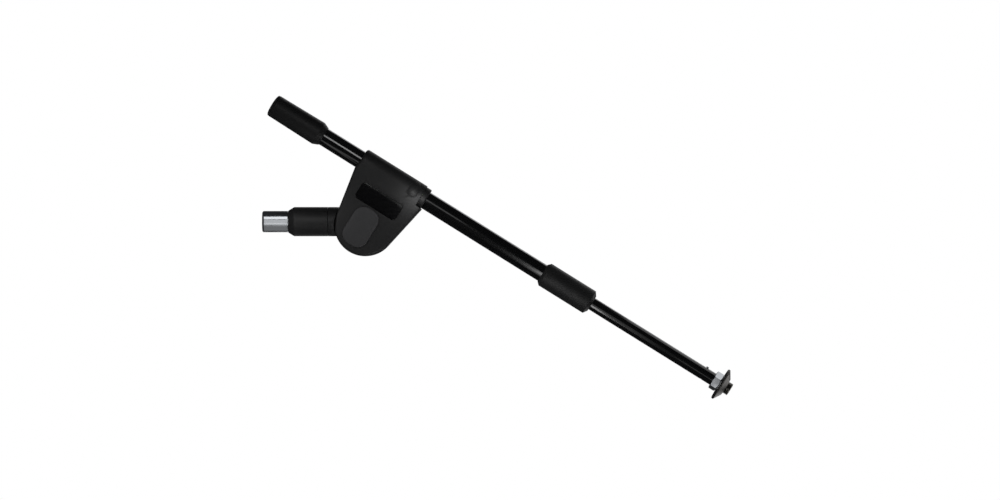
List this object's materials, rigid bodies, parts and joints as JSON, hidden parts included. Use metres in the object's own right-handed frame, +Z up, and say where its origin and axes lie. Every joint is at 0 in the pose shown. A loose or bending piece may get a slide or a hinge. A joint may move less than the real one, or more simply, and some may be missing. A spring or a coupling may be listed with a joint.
{
  "type": "microphone boom arm",
  "caption": "Short telescoping microphone boom arm: stand socket, tilting clamp head, counterweighted tube, twist clutch and threaded microphone end.",
  "frame": {"origin": "centre of the stand socket's mouth, where the stand's thread enters", "axes": "+Z up along the stand and the socket, +X towards the side that the microphone end leans to, -Y the front of the clamp head"},
  "size_m": [0.3697, 0.0603, 0.5742],
  "materials": {
    "chrome_plate": "bright chrome plate on turned steel",
    "black_powder_coat": "fine satin black powder coat",
    "black_gloss_enamel": "smooth gloss black enamel on steel tube",
    "black_moulded_nylon": "glass-filled nylon, fine moulded grain",
    "grey_moulded_plastic": "dark grey moulded cap, satin",
    "badge_gloss_plastic": "polished black plate, left blank",
    "natural_nylon": "uncoloured nylon",
    "friction_fibre": "pressed friction fibre",
    "zinc_plated_steel": "bright zinc plate",
    "nickel_plated_steel": "nickel plate, turned",
    "brass_insert": "turned brass"
  },
  "bodies": {
    "mount": {"stand_socket": "chrome_plate", "neck_sleeve": "black_powder_coat", "knuckle": "black_powder_coat", "socket_grub_screw": "zinc_plated_steel", "knuckle_grub_screw": "zinc_plated_steel"},
    "head": {"front_shell": "black_moulded_nylon", "rear_shell": "black_moulded_nylon", "tube_bushing": "natural_nylon", "end_collar": "black_moulded_nylon", "friction_disc_front": "friction_fibre", "friction_disc_rear": "friction_fibre", "pivot_bolt": "zinc_plated_steel", "bolt_washer": "zinc_plated_steel", "rear_washer": "zinc_plated_steel", "spring_washer": "zinc_plated_steel", "shell_screw_1": "zinc_plated_steel", "shell_screw_2": "zinc_plated_steel", "shell_screw_3": "zinc_plated_steel", "shell_screw_4": "zinc_plated_steel", "screw_insert_1": "brass_insert", "screw_insert_2": "brass_insert", "screw_insert_3": "brass_insert", "screw_insert_4": "brass_insert", "badge_plate": "badge_gloss_plastic", "pivot_cap": "grey_moulded_plastic"},
    "knob": {"clamp_knob": "black_moulded_nylon", "knob_insert": "brass_insert", "knob_cap": "grey_moulded_plastic"},
    "boom": {"outer_tube": "black_gloss_enamel", "counterweight": "black_powder_coat", "weight_set_screw": "zinc_plated_steel", "weight_core": "zinc_plated_steel", "weight_cap": "black_moulded_nylon", "thrust_washer": "natural_nylon", "clutch_body": "natural_nylon", "collet": "natural_nylon"},
    "clutch": {"clutch_sleeve": "black_moulded_nylon"},
    "inner_boom": {"inner_tube": "black_gloss_enamel", "guide_bushing": "natural_nylon", "tip_fitting": "chrome_plate", "mic_stud": "nickel_plated_steel", "tip_pin": "zinc_plated_steel"},
    "ring": {"lock_ring": "nickel_plated_steel"}
  },
  "joints": [
    {"name": "boom_tilt", "type": "hinge", "parent": "mount", "child": "head", "pos_m": [0.0047, 0, 0.1257], "axis": [0, 1, 0], "range_deg": [0, 120]},
    {"name": "knob_turn", "type": "hinge", "parent": "head", "child": "knob", "pos_m": [0.0047, 0.03, 0.1257], "axis": [0, 1, 0], "range_deg": [0, 270]},
    {"name": "boom_slide", "type": "slide", "parent": "head", "child": "boom", "axis": [0.5289, 0, 0.8487], "range_m": [-0.165, 0.051]},
    {"name": "clutch_twist", "type": "hinge", "parent": "boom", "child": "clutch", "pos_m": [0.08167, 0, 0.3723], "axis": [0.5289, 0, 0.8487], "range_deg": [0, 120]},
    {"name": "tube_extend", "type": "slide", "parent": "boom", "child": "inner_boom", "axis": [0.5289, 0, 0.8487], "range_m": [-0.158, 0.155]},
    {"name": "ring_turn", "type": "hinge", "parent": "inner_boom", "child": "ring", "pos_m": [0.19908, 0, 0.56071], "axis": [0.5289, 0, 0.8487], "range_deg": [0, 300]}
  ]
}
